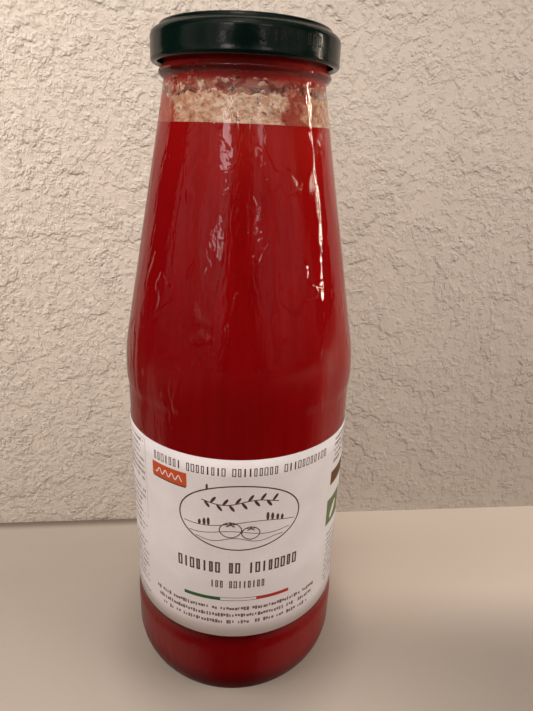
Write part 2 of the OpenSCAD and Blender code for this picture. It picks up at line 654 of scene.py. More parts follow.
@dataclass(frozen=True)
class DriedFroth:
    """Pale froth at the front of the neck, with reddish holes, and red where pulp has run over it."""

    tan: Colour = (0.42, 0.165, 0.085)
    pale: Colour = (0.68, 0.425, 0.275)
    white: Colour = (0.90, 0.72, 0.55)
    hole: Colour = (0.22, 0.045, 0.022)
    red: Colour = (0.36, 0.030, 0.018)
    top_z: float = 0.2078
    lumps: Grain = Grain(1.3, 420.0, 5.0, 0.66, 0.6)
    fine: Grain = Grain(1.0, 1500.0, 3.0, 0.6)
    broad: Grain = Grain(1.0, 130.0, 3.0, 0.55)
    holes: Grain = Grain(1.5, 480.0, 4.0, 0.6, 0.2)
    bump_h: float = 0.7 * MM

    def material(self) -> bpy.types.Material:
        """The froth material; its ragged top comes from the alpha."""
        paint = Paint.named("dried_froth")
        x, y, z = paint.axes()
        lumps = paint.noise(self.lumps)
        fine = paint.noise(self.fine)
        broad = paint.noise(self.broad)
        turn = x.math("ARCTAN2", y * -1.0)
        bent = turn + (broad - 0.5) * 1.1 + (lumps - 0.5) * 0.35
        left = bent.rise(-0.78, -1.02)
        right = bent.rise(0.50, 0.62) * bent.rise(0.90, 0.76)
        middle = abs(turn - 0.08).rise(0.75, 0.1) * 0.07 - 0.03
        colour = paint.shades(lumps * 0.7 + fine * 0.35 + middle, self.tan, self.pale, self.white)
        colour = paint.mix(broad.rise(0.56, 0.68) * 0.6, colour, self.tan)
        holes = paint.noise(self.holes).rise(0.60, 0.70)
        colour = paint.mix(holes * 0.75, colour, self.hole)
        colour = paint.mix(((left + right) * 0.85).under(1.0), colour, self.red)
        torn = z + (lumps - 0.5) * 0.0052 + (broad - 0.5) * 0.005
        ragged = torn.rise(self.top_z - 0.0002, self.top_z - 0.0007)
        return paint.principled(
            Base_Color=colour,
            Roughness=fine * 0.3 + 0.5,
            Specular_IOR_Level=0.2,
            Alpha=ragged,
            Normal=paint.bump(lumps + fine * 0.4 - holes * 0.5, self.bump_h),
        )


@dataclass(frozen=True)
class PulpFilm:
    """A thin film of pulp on the inside of the neck: torn and tan below, deep red under the lid."""

    thin: Colour = (0.56, 0.25, 0.17)
    brown: Colour = (0.20, 0.042, 0.022)
    thick: Colour = (0.40, 0.018, 0.012)
    tears: Grain = Grain(0.8, 190.0, 5.0, 0.6, 1.2)
    blots: Grain = Grain(1.0, 330.0, 4.0, 0.6, 0.8)
    bump_h: float = 0.4 * MM

    def material(self) -> bpy.types.Material:
        """The film material."""
        paint = Paint.named("pulp_film")
        _, _, z = paint.axes()
        tears = paint.noise(self.tears)
        blots = paint.noise(self.blots)
        high = z.rise(0.2078, 0.2116)
        cover = (tears * 1.3 + high * 0.9).rise(0.50, 0.78)
        colour = paint.mix(blots.rise(0.42, 0.60), self.brown, self.thin)
        colour = paint.mix(high, colour, self.thick)
        return paint.principled(
            Base_Color=colour,
            Roughness=0.4,
            Specular_IOR_Level=0.2,
            Alpha=cover * (high * 0.35 + 0.45) + 0.17,
            Normal=paint.bump(tears + blots * 0.5, self.bump_h),
        )


@dataclass(frozen=True)
class NeckLumps:
    """Small lumps of pulp, skin or dried froth."""

    name: str
    dark: Colour
    middle: Colour
    light: Colour
    lumps: Grain = Grain(1.0, 620.0, 4.0, 0.62)
    bump_h: float = 0.8 * MM

    def material(self) -> bpy.types.Material:
        """The lump material."""
        paint = Paint.named(self.name)
        lumps = paint.noise(self.lumps)
        colour = paint.shades(lumps, self.dark, self.middle, self.light)
        return paint.principled(
            Base_Color=colour, Roughness=lumps * 0.3 + 0.3, Specular_IOR_Level=0.3,
            Normal=paint.bump(lumps, self.bump_h),
        )


@dataclass(frozen=True)
class GreenLacquer:
    """Dark green lacquered tinplate with faint orange peel and handling marks."""

    green: Colour = (0.0010, 0.0072, 0.0050)
    rubbed: Colour = (0.006, 0.016, 0.012)
    peel: Grain = Grain(1.0, 420.0, 2.0, 0.5)
    marks: Grain = Grain(3.0, 240.0, 6.0, 0.7, 1.0)
    bump_h: float = 0.07 * MM

    def material(self) -> bpy.types.Material:
        """The lid material."""
        paint = Paint.named("green_lacquer")
        peel = paint.noise(self.peel)
        marks = paint.noise(self.marks)
        worn = marks.rise(0.60, 0.74)
        return paint.principled(
            Base_Color=paint.mix(worn * 0.3, self.green, self.rubbed),
            Roughness=worn * 0.12 + peel * 0.05 + 0.14,
            Specular_IOR_Level=0.4,
            Normal=paint.bump(peel, self.bump_h),
        )


@dataclass(frozen=True)
class CoatedPaper:
    """Label paper: white with fibre clouding and a faint cockle, and painted shade towards its bottom
    edge.
    """

    white: Colour = (0.82, 0.775, 0.775)
    shade: Colour = (0.72, 0.665, 0.66)
    clouds: Grain = Grain(1.0, 90.0, 3.0, 0.5)
    fibre: Grain = Grain(0.6, 2600.0, 3.0, 0.6)
    cockle: Grain = Grain(0.25, 70.0, 2.0, 0.4)
    bump_h: float = 0.5 * MM

    def material(self) -> bpy.types.Material:
        """The paper material."""
        paint = Paint.named("label_paper")
        clouds = paint.noise(self.clouds)
        fibre = paint.noise(self.fibre)
        cockle = paint.noise(self.cockle)
        # Painted shade: the paper darkens towards its bottom edge, standing in for light falling off
        # downwards.
        low = paint.axes()[2].rise(0.064, 0.040) * 0.6
        colour = paint.mix((clouds * 0.7 + fibre * 0.5 + low).rise(0.35, 0.95), self.white, self.shade)
        return paint.principled(
            Base_Color=colour,
            Roughness=fibre * 0.2 + 0.45,
            Specular_IOR_Level=0.3,
            Normal=paint.bump(cockle + fibre * 0.02, self.bump_h),
        )


@dataclass(frozen=True)
class PrintInk:
    """A printed field of one ink, with the grain of what lies under it showing through."""

    name: str
    colour: Colour
    worn: float = 0.06
    grain: Grain = Grain(1.0, 2400.0, 3.0, 0.6)
    patch: Grain = Grain(1.0, 300.0, 2.0, 0.5)
    bump_h: float = 0.02 * MM

    def material(self) -> bpy.types.Material:
        """The ink material."""
        paint = Paint.named(self.name)
        grain = paint.noise(self.grain)
        patch = paint.noise(self.patch)
        lighter = tuple(c + (0.75 - c) * self.worn for c in self.colour)
        colour = paint.mix((grain * 0.6 + patch * 0.5).rise(0.35, 1.0), self.colour, lighter)
        return paint.principled(
            Base_Color=colour, Roughness=grain * 0.2 + 0.4, Specular_IOR_Level=0.3,
            Normal=paint.bump(grain, self.bump_h),
        )


# ---------------------------------------------------------------------------------------------
# Pieces
# ---------------------------------------------------------------------------------------------


@dataclass
class GlassBottle:
    """The blown glass: foot, heel, band, label panel, bulge, taper, bead and finish."""

    height: float
    around: int = 176
    panel_r: float = 39.0 * MM
    band_out: float = 0.7 * MM
    bulge_out: float = 0.4 * MM
    panel_z0: float = 31.0 * MM
    panel_h: float = 86.0 * MM
    step_h: float = 4.5 * MM
    crest_h: float = 1.0 * MM
    bend: float = 70.0 * MM
    neck_r: float = 24.0 * MM
    wall: float = 2.5 * MM
    bead_h: float = 3.6 * MM
    bead_out: float = 1.5 * MM
    bead_gap: float = 0.4 * MM
    rim_round: float = 0.9 * MM
    heel_w: float = 12.5 * MM
    heel_h: float = 13.5 * MM
    foot_w: float = 2.4 * MM
    punt_h: float = 5.0 * MM
    base_t: float = 2.5 * MM
    foot_t: float = 3.0 * MM
    ripple: Ripple = field(default_factory=lambda: Ripple(depth=0.2 * MM, seed=11))
    foot_clear: float = 4.0 * MM
    fade: float = 12.0 * MM
    dents: int = 26
    dent_seed: int = 5

    @property
    def neck_z(self) -> float:
        """Height of the narrowest neck, a bead and a gap below the lid's hem."""
        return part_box("lid")[0][2] - self.bead_gap - self.bead_h

    @property
    def bulge_z0(self) -> float:
        """Height where the step above the panel ends."""
        return self.panel_z0 + self.panel_h + self.step_h

    @property
    def bore_r(self) -> float:
        """Radius of the mouth."""
        return self.neck_r - self.wall

    @property
    def inner_r(self) -> float:
        """Radius of the inside behind the label panel."""
        return self.panel_r - self.wall

    @property
    def outside(self) -> Taper:
        """The outer taper."""
        crest_r, crest_z = self.panel_r + self.bulge_out, self.bulge_z0 + self.crest_h
        return Taper(crest_r, crest_z, self.bend, self.neck_r, self.neck_z)

    @property
    def inside(self) -> Taper:
        """The inner taper."""
        crest_z = self.bulge_z0 + self.crest_h
        return Taper(self.inner_r, crest_z, self.bend - self.wall, self.bore_r, self.neck_z)

    def outer_profile(self) -> np.ndarray:
        """The outside from the middle of the hollow base to the rim's inner edge."""
        band_r = self.panel_r + self.band_out
        bulge_r = self.panel_r + self.bulge_out
        foot_r = band_r - self.heel_w
        panel_z1 = self.panel_z0 + self.panel_h
        way = np.linspace(0.0, 1.0, 17)
        bead = [self.neck_r + self.bead_out * np.sin(math.pi * way), self.neck_z + self.bead_h * way]
        rim = self.rim_round
        return np.vstack(
            [
                dome(self.punt_h, (foot_r - self.foot_w, 0.0), 14),
                quarter((foot_r, 0.0), (band_r, self.heel_h), 26),
                straight((band_r, self.heel_h), (band_r, self.panel_z0 - self.step_h), 5),
                s_step((band_r, self.panel_z0 - self.step_h), (self.panel_r, self.panel_z0), 9),
                straight((self.panel_r, self.panel_z0), (self.panel_r, panel_z1), 18),
                s_step((self.panel_r, panel_z1), (bulge_r, self.bulge_z0), 9),
                self.outside.points(18, 56),
                np.stack(bead, axis=-1),
                straight((self.neck_r, self.neck_z + self.bead_h), (self.neck_r, self.height - rim), 4),
                arc((self.neck_r - rim, self.height - rim), rim, 0.0, 90.0, 7),
                arc((self.bore_r + rim, self.height - rim), rim, 90.0, 180.0, 7),
            ]
        )

    def cavity(self) -> np.ndarray:
        """The inside from the middle of the floor to the start of the taper."""
        edge = (self.panel_r + self.band_out - self.heel_w - self.foot_w, self.foot_t)
        heel = (self.inner_r, self.heel_h + self.foot_t)
        return np.vstack(
            [
                dome(self.punt_h + self.base_t, edge, 10),
                quarter(edge, heel, 16)[1:],
                straight(heel, (self.inner_r, self.bulge_z0 + self.crest_h), 12),
            ]
        )

    def unevenness(self, angle: np.ndarray, z: np.ndarray) -> np.ndarray:
        """Change of the outer radius: slow ripples and small shallow dents between foot and bead.

        A dent is a Gaussian dip about a point of the wall, drawn out along the height.

        Args:
            angle: angle about the axis.
            z: height.

        Returns:
            The change of radius, zero at the foot, the bead and the finish.
        """
        free = ease(np.clip((z - self.foot_clear) / self.fade, 0.0, 1.0))
        free = free * ease(np.clip((self.neck_z - z) / self.fade, 0.0, 1.0))
        rng = np.random.default_rng(self.dent_seed)
        turn = rng.uniform(0.0, TURN, self.dents)
        height = rng.uniform(self.bulge_z0, self.neck_z - 0.01, self.dents)
        wide = rng.uniform(1.2, 2.4, self.dents) * MM
        tall = wide * rng.uniform(1.5, 3.5, self.dents)
        deep = rng.uniform(0.03, 0.09, self.dents) * MM
        apart = (angle[..., None] - turn + math.pi) % TURN - math.pi
        across = apart * self.panel_r * 0.8 / wide
        along = (z[..., None] - height) / tall
        dips = (deep * np.exp(-(across**2) - along**2)).sum(axis=-1)
        outside = z > self.bulge_z0 - self.step_h
        return free * (self.ripple.at(angle, z) - dips * outside)

    def build(self) -> bpy.types.Object:
        """Build and dress the glass; only the outside rows are uneven."""
        outer = self.outer_profile()
        inner = np.vstack([self.cavity()[:-1], self.inside.points(12, 14), [[self.bore_r, self.neck_z]]])
        profile = np.vstack([outer, inner[::-1]])
        outside = (np.arange(1, len(profile) - 1) < len(outer))[:, None]

        def shift(angle: np.ndarray, z: np.ndarray) -> np.ndarray:
            """Unevenness of every row between the two poles, none on the inside rows."""
            return np.where(outside, self.unevenness(angle, z), 0.0)

        glass = lathe("glass_wall", profile, self.around, shift)
        glass.visible_shadow = False
        return present(glass, Slot.GLASS, ClearGlass().material(), "bottle")


@dataclass(frozen=True)
class Scatter:
    """Lumps to scatter round the front of the neck, inside."""

    finish: NeckLumps
    slot: Slot
    seed: int
    count: int
    band: Pair
    half_width: Pair
    span: float = 2.8


@dataclass
class Filling:
    """The passata, the froth above it, and the film and clumps of pulp left in the neck."""

    glass: GlassBottle
    into_wall: float = 0.25 * MM
    around: int = 144
    froth_around: int = 360
    froth_drop: float = 2.4 * MM
    clumps: Scatter = Scatter(
        NeckLumps("pulp_clumps", (0.17, 0.014, 0.009), (0.44, 0.12, 0.08), (0.66, 0.36, 0.26)),
        Slot.PASSATA, 8, 44, (206.6 * MM, 212.4 * MM), (0.7 * MM, 2.6 * MM),
    )
    crumbs: Scatter = Scatter(
        NeckLumps("froth_crumbs", (0.34, 0.13, 0.075), (0.66, 0.44, 0.31), (0.85, 0.68, 0.53)),
        Slot.FROTH, 12, 110, (205.4 * MM, 211.0 * MM), (0.5 * MM, 2.0 * MM),
    )

    @property
    def level(self) -> float:
        """Height of the passata's surface."""
        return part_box("passata")[1][2]

    def wall_r(self, z: "float | np.ndarray") -> "float | np.ndarray":
        """Radius of the inner wall in the taper, reached into a little."""
        return self.glass.inside.radius_at(z) + self.into_wall

    def neck_wall(self, z: np.ndarray) -> np.ndarray:
        """Radius of the inner wall in the taper and the mouth."""
        return np.where(z < self.glass.neck_z, self.glass.inside.radius_at(z), self.glass.bore_r)

    def build_pulp(self) -> bpy.types.Object:
        """The passata, which reaches just into the glass so that no air shows between them."""
        inner = self.glass.cavity()
        inner = inner + np.array([self.into_wall, 0.0]) * (inner[:, :1] > 1e-9)
        taper = self.glass.inside.points(14, 2)[:14] + np.array([self.into_wall, 0.0])
        edge, near = float(self.wall_r(self.level)), 0.08 * MM
        rise = straight(tuple(taper[-1]), (edge, self.level), 24)
        corner = [[edge, self.level - near], [edge, self.level], [edge - near, self.level]]
        surface = straight((edge - near, self.level), (0.0, self.level), 6)
        profile = np.vstack([inner, taper[1:], rise[:-1], corner, surface, [[0.0, self.level]]])
        pulp = lathe("passata_fill", profile, self.around)
        finish = TomatoPulp(top_z=self.level)
        return present(pulp, Slot.PASSATA, finish.material(), "passata")

    def build_froth(self) -> bpy.types.Object:
        """A lumpy ring on the wall above the passata, its top edge rising and falling round the neck."""
        low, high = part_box("froth")[0][2] - 0.5 * MM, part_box("froth")[1][2]
        rows = 14
        turn = np.arange(self.froth_around) * TURN / self.froth_around
        rng = np.random.default_rng(21)
        waves = np.arange(3, 40)
        phase = rng.uniform(0.0, TURN, waves.size)
        edge = (np.sin(waves * turn[:, None] + phase) / np.sqrt(waves)).sum(axis=1)
        edge = (edge - edge.min()) / (edge.max() - edge.min())
        top = high - self.froth_drop * (1.0 - edge)
        up = np.concatenate([[0.0], np.linspace(0.008, 1.0, rows - 1)])[:, None]
        z = low + (top[None, :] - low) * up
        lump = np.sin(9 * turn[None, :] + 700.0 * z) * np.sin(23 * turn[None, :] - 1500.0 * z + 1.0)
        thick = (0.45 + 0.25 * lump + 0.2 * (1.0 - up)) * MM
        outer, inner = self.wall_r(z) + 0.06 * MM, self.glass.inside.radius_at(z) - thick
        points = about_axis(np.vstack([outer, inner[::-1]]), turn, np.vstack([z, z[::-1]]))
        froth = make_object("froth_ring", points, [grid_quads(2 * rows, turn.size, True, True)])
        return present(froth, Slot.FROTH, DriedFroth(top_z=high).material(), "froth")

    def build_film(self) -> bpy.types.Object:
        """The see-through film on the wall from the froth up to the mouth, as one thin closed ring."""
        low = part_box("froth")[1][2] - 3.5 * MM
        z = np.linspace(low, self.glass.height - 2.0 * MM, 30)
        wall = self.neck_wall(z)
        outer = np.stack([wall + 0.08 * MM, z], axis=-1)
        inner = np.stack([wall - 0.12 * MM, z], axis=-1)[::-1]
        film = lathe("neck_film", np.vstack([outer, inner]), self.around)
        return present(film, Slot.PASSATA, PulpFilm().material())

    def build_lumps(self, lumps: Scatter, rows: int = 9, columns: int = 14) -> bpy.types.Object:
        """Lumps stuck to the wall: flattened balls whose radius is stirred by two sine waves.

        Args:
            lumps: what to scatter and where.
            rows: points from pole to pole of a ball, both poles counted.
            columns: points round a ball.

        Returns:
            The joined lumps.
        """
        rng = np.random.default_rng(lumps.seed)
        turn = rng.uniform(-lumps.span, lumps.span, lumps.count)[:, None, None] - TURN / 4.0
        height = rng.uniform(*lumps.band, lumps.count)[:, None]
        wide = rng.uniform(*lumps.half_width, lumps.count)[:, None, None]
        tall = wide * rng.uniform(0.4, 0.9, lumps.count)[:, None, None]
        deep = wide * rng.uniform(0.2, 0.4, lumps.count)[:, None, None]
        polar = np.linspace(0.0, math.pi, rows)[1:-1]
        p, q = np.meshgrid(polar, np.arange(columns) * TURN / columns, indexing="ij")
        n = np.arange(lumps.count)[:, None, None]
        stir = 1.0 + 0.25 * np.sin(3 * q + turn * 7.0) * np.sin(p) + 0.18 * np.sin(5 * q + 2 * p + n)
        across = (wide * stir * np.sin(p) * np.cos(q)).reshape(lumps.count, -1)
        upward = (tall * stir * np.sin(p) * np.sin(q)).reshape(lumps.count, -1)
        inward = (deep * np.cos(p) * np.ones_like(q)).reshape(lumps.count, -1)
        turn, deep, poles = turn[..., 0], deep[..., 0], np.zeros((lumps.count, 2))
        across, z = np.hstack([across, poles]), height + np.hstack([upward, poles])
        inward = np.hstack([inward, deep * np.array([1.0, -1.0])])
        wall = self.neck_wall(z)
        points = about_axis(wall - 0.05 * MM + inward - deep * 0.5, turn + across / wall, z)
        start, pole = n * across.shape[1], (rows - 2) * columns
        quads = grid_quads(rows - 2, columns, False, True)
        caps = [cap(pole, 0, columns, False), cap(pole + 1, pole - columns, columns, True)]
        blocks = [(quads + start).reshape(-1, 4), (np.vstack(caps) + start).reshape(-1, 3)]
        return present(make_object(lumps.finish.name, points, blocks), lumps.slot, lumps.finish.material())

    def build(self) -> None:
        """Build and dress everything inside the glass."""
        self.build_pulp()
        self.build_froth()
        self.build_film()
        self.build_lumps(self.crumbs)
        self.build_lumps(self.clumps)


@dataclass
class TwistLid:
    """The lacquered lid: crown, shoulder, skirt and rolled hem, as one sheet."""

    glass: GlassBottle
    sheet: float = 0.4 * MM
    gap: float = 3.1 * MM
    crown_gap: float = 0.6 * MM
    crown_h: float = 1.3 * MM
    shoulder_round: float = 2.2 * MM
    recess_h: float = 0.5 * MM
    recess_gap: float = 1.6 * MM
    hem_r: float = 1.0 * MM
    hem_out: float = 0.05 * MM
    code_z: float = 4.6 * MM
    code_from: float = 14.0
    code_pitch: float = 1.95 * MM
    around: int = 160

    @property
    def skirt_r(self) -> float:
        """Outer radius of the skirt."""
        return self.glass.neck_r + self.gap + self.sheet

    def sheet_line(self, inset: float) -> np.ndarray:
        """The sheet's outline set in by inset, from the axis to the top of the hem."""
        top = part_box("lid")[1][2]
        crown_r = self.glass.neck_r + self.crown_gap + self.sheet
        recess_r = self.glass.bore_r - self.recess_gap
        floor = (recess_r - 2 * self.recess_h, top - self.recess_h - inset)
        half, turn = self.crown_h / 2.0, self.shoulder_round
        return np.vstack(
            [
                [[0.0, floor[1]]],
                straight((0.0, floor[1]), floor, 6),
                s_step(floor, (recess_r, top - inset), 2),
                arc((crown_r - half, top - half), half - inset, 90.0, 0.0, 7),
                arc((self.skirt_r - turn, top - self.crown_h - turn), turn - inset, 90.0, 0.0, 12),
            ]
        )

    def build_sheet(self) -> bpy.types.Object:
        """The sheet's outside, round the rolled hem, and back up the inside to the axis."""
        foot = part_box("lid")[0][2]
        hem = (self.skirt_r + self.hem_out - self.hem_r, foot + self.hem_r)
        leave = math.degrees(math.acos(1.0 - self.hem_out / self.hem_r))
        profile = np.vstack(
            [
                self.sheet_line(0.0),
                straight((self.skirt_r, foot + 4 * MM), (self.skirt_r, foot + 2.0 * MM), 3),
                arc(hem, self.hem_r, leave, -230.0, 26),
                self.sheet_line(self.sheet)[::-1],
            ]
        )
        lid = lathe("lid_sheet", profile, self.around)
        return present(lid, Slot.LID, GreenLacquer().material(), "lid")

    def build_code(self) -> bpy.types.Object:
        """A short row of small dark bars and frames on the skirt, where a batch mark would be."""
        print_row = PrintSheet(Inks.BLACK, self.skirt_r, 0.0, 0.02 * MM, Slot.LID)
        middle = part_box("lid")[0][2] + self.code_z
        s = math.radians(self.code_from) * self.skirt_r
        for kind in (1, 0, 0, 1, None, 0, 2, 0):
            if kind is not None:
                print_row.mark(kind, s, middle, 1.5 * MM, 2.6 * MM, 0.42 * MM)
            s += self.code_pitch
        return print_row.build()

    def build(self) -> None:
        """Build and dress the lid."""
        self.build_sheet()
        self.build_code()


class Inks(Enum):
    """The printing inks and their colours."""

    BROWN = ("ink_brown", (0.085, 0.030, 0.028))
    BLACK = ("ink_black", (0.0006, 0.0012, 0.0012))
    FINE = ("ink_fine", (0.16, 0.085, 0.075))
    FAINT = ("ink_faint", (0.30, 0.225, 0.21))
    ORANGE = ("ink_orange", (0.56, 0.068, 0.010))
    OCHRE = ("ink_ochre", (0.13, 0.055, 0.012))
    GREEN = ("ink_green", (0.022, 0.095, 0.022))
    LEAF = ("ink_leaf", (0.145, 0.185, 0.07))
    RED = ("ink_red", (0.42, 0.020, 0.014))
    PALE = ("ink_pale", (0.80, 0.74, 0.70))


@dataclass
class PrintSheet:
    """Printed shapes of one ink, gathered in flat coordinates: distance along, and height."""

    ink: Inks
    radius: float
    front: float
    lift: float
    slot: Slot = Slot.LABEL
    points: list = field(default_factory=list)
    faces: list = field(default_factory=list)
    count: int = 0

    def add(self, s: np.ndarray, z: np.ndarray, faces: np.ndarray) -> None:
        """Add points and the faces that join them.

        Args:
            s: distance along from the front middle, rightwards, in metres.
            z: height, in metres.
            faces: point numbers, counted from the first of these points.
        """
        angle = self.front + s / self.radius
        r = self.radius + self.lift
        self.points.append(np.stack([r * np.sin(angle), -r * np.cos(angle), z], axis=-1).reshape(-1, 3))
        self.faces.append(faces + self.count)
        self.count += s.size

    def grid(self, s: np.ndarray, z: np.ndarray) -> None:
        """Add one grid of points."""
        self.add(s, z, grid_quads(*s.shape, False, False))

    def box(self, s0: float, s1: float, z0: float, z1: float) -> None:
        """A rectangle, divided so that it follows the curve."""
        cuts = max(2, int(abs(s1 - s0) / (1.2 * MM)) + 2)
        self.grid(*np.meshgrid(np.linspace(s0, s1, cuts), [z0, z1]))

    def frame(self, s0: float, s1: float, z0: float, z1: float, line: float) -> None:
        """An open rectangle drawn with lines of one width."""
        self.box(s0, s1, z0, z0 + line)
        self.box(s0, s1, z1 - line, z1)
        self.box(s0, s0 + line, z0 + line, z1 - line)
        self.box(s1 - line, s1, z0 + line, z1 - line)

    def mark(self, kind: int, s: float, z: float, wide: float, tall: float, line: float) -> None:
        """One small plain shape: 0 an open frame, 1 a narrow solid block, 2 a broad open frame.

        Args:
            kind: which shape.
            s: its left side.
            z: its middle height.
            wide: its width.
            tall: its height.
            line: width of its lines.
        """
        low, high = z - tall / 2.0, z + tall / 2.0
        if kind == 1:
            self.box(s + wide * 0.3, s + wide * 0.7, low, high)
        else:
            inset = 0.0 if kind == 2 else 0.1 * wide
            self.frame(s + inset, s + wide - inset, low, high, line)

    def ticks(self, s: np.ndarray, z: np.ndarray, wide: np.ndarray, tall: np.ndarray) -> None:
        """Many tiny rectangles at once: left sides, middles, widths and heights, one entry each."""
        across = np.stack([s, s + wide, s + wide, s], axis=-1)
        up = np.stack([z - tall / 2, z - tall / 2, z + tall / 2, z + tall / 2], axis=-1)
        self.add(across, up, np.arange(across.size).reshape(-1, 4))

    def stroke(self, s: np.ndarray, z: np.ndarray, width: float) -> None:
        """A line of constant width along a path: each point is carried half a width to either side
        along the normal of the path there."""
        ds, dz = np.gradient(s), np.gradient(z)
        size = np.hypot(ds, dz) + 1e-12
        ns, nz = -dz / size * width / 2.0, ds / size * width / 2.0
        self.grid(np.stack([s - ns, s + ns]), np.stack([z - nz, z + nz]))

    def disc(self, s: np.ndarray, z: np.ndarray, centre: Pair) -> None:
        """A filled outline: rings that shrink from the outline to the centre."""
        share = np.array([[1.0], [0.5], [0.02]])
        self.grid(centre[0] + (s - centre[0]) * share, centre[1] + (z - centre[1]) * share)

    def build(self) -> bpy.types.Object:
        """Build and dress the printed layer."""
        points, faces = np.vstack(self.points), np.vstack(self.faces)
        a, b, c = points[faces[:, 0]], points[faces[:, 1]], points[faces[:, 2]]
        middle = points[faces].mean(axis=1)
        outward = np.einsum("ij,ij->i", np.cross(b - a, c - b), middle * np.array([1.0, 1.0, 0.0])) > 0
        faces = np.where(outward[:, None], faces, faces[:, ::-1])
        name, colour = self.ink.value
        layer = make_object("print_" + name[4:], points, [faces], closed=False)
        return present(layer, self.slot, PrintInk(name, colour).material())


@dataclass(frozen=True)
class MarkRow:
    """A row of plain marks where a heading would be: ends in degrees, heights in metres."""

    left: float
    right: float
    middle: float
    tall: float
    line: float
    groups: tuple[int, ...]
    seed: int


@dataclass(frozen=True)
class TickBlock:
    """Rows of ticks where small print would be: ends in degrees, heights in metres.

    The right ends step back by one step from row to row, and start again after the cycle.
    """

    left: float
    right: float
    top: float
    pitch: float
    rows: int
    tall: float
    seed: int
    step: float = 0.0
    cycle: tuple[int, ...] = (0, 1, 2)

    @property
    def spans(self) -> np.ndarray:
        """First and last angle of each row."""
        back = np.resize(self.cycle, self.rows) * self.step
        return np.stack([np.full(self.rows, self.left), self.right - back], axis=-1)

    @property
    def heights(self) -> np.ndarray:
        """Height of the middle of each row."""
        return self.top - self.pitch * np.arange(self.rows)


